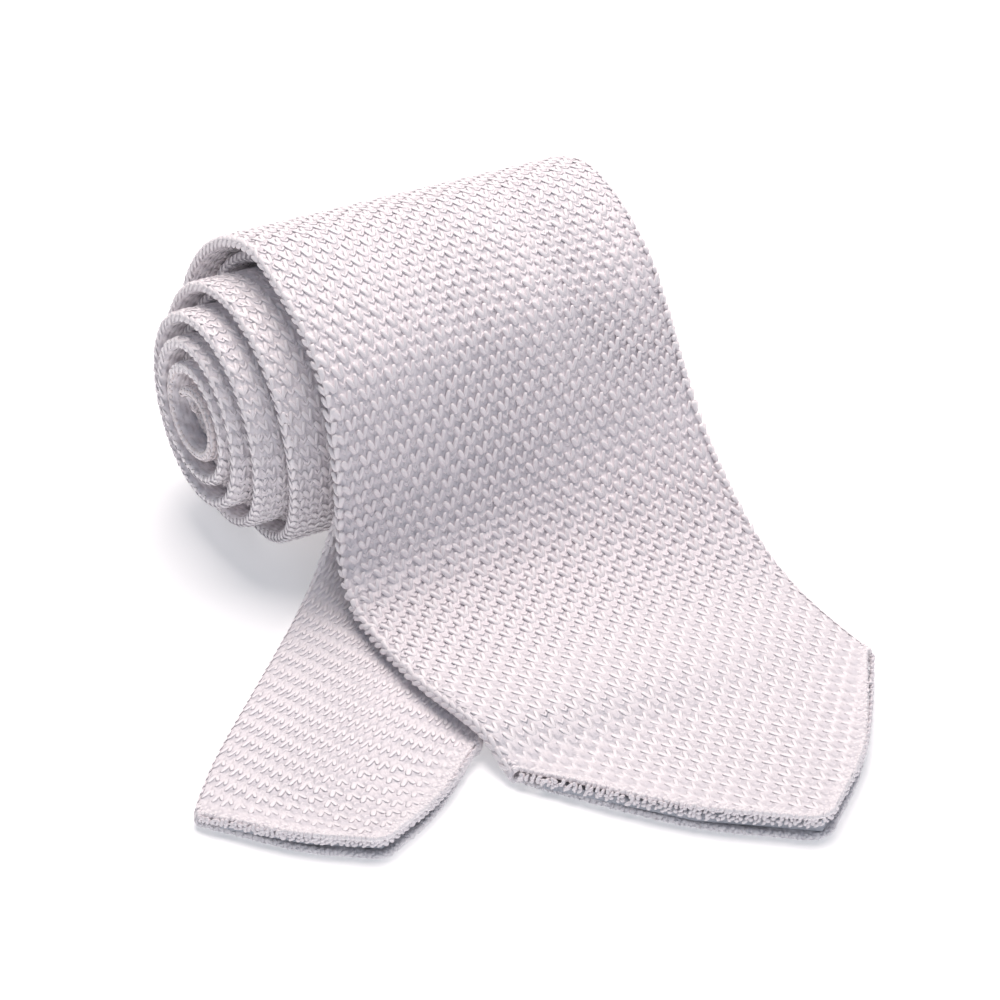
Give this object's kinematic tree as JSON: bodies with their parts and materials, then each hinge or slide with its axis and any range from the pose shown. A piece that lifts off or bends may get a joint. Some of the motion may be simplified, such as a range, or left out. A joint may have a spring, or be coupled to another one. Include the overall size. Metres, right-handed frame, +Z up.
{
  "type": "knit tie",
  "caption": "Knitted necktie with pointed ends, folded in half, rolled up from the fold and lying with both ends out in front.",
  "frame": {"origin": "on the table under the middle of the whole rolled tie", "axes": "+Z up, +X to the right along the axis of the roll, -Y towards the viewer and the pointed ends"},
  "size_m": [0.114, 0.154, 0.054],
  "materials": {
    "knit": "coarse white polyester knit with a soft sheen on the yarn",
    "hem": "turned-in end of the same knit, in shade between the two lips"
  },
  "bodies": {
    "root": {"knit_tube": "knit", "blade_hem": "hem", "tail_hem": "hem"}
  },
  "joints": []
}
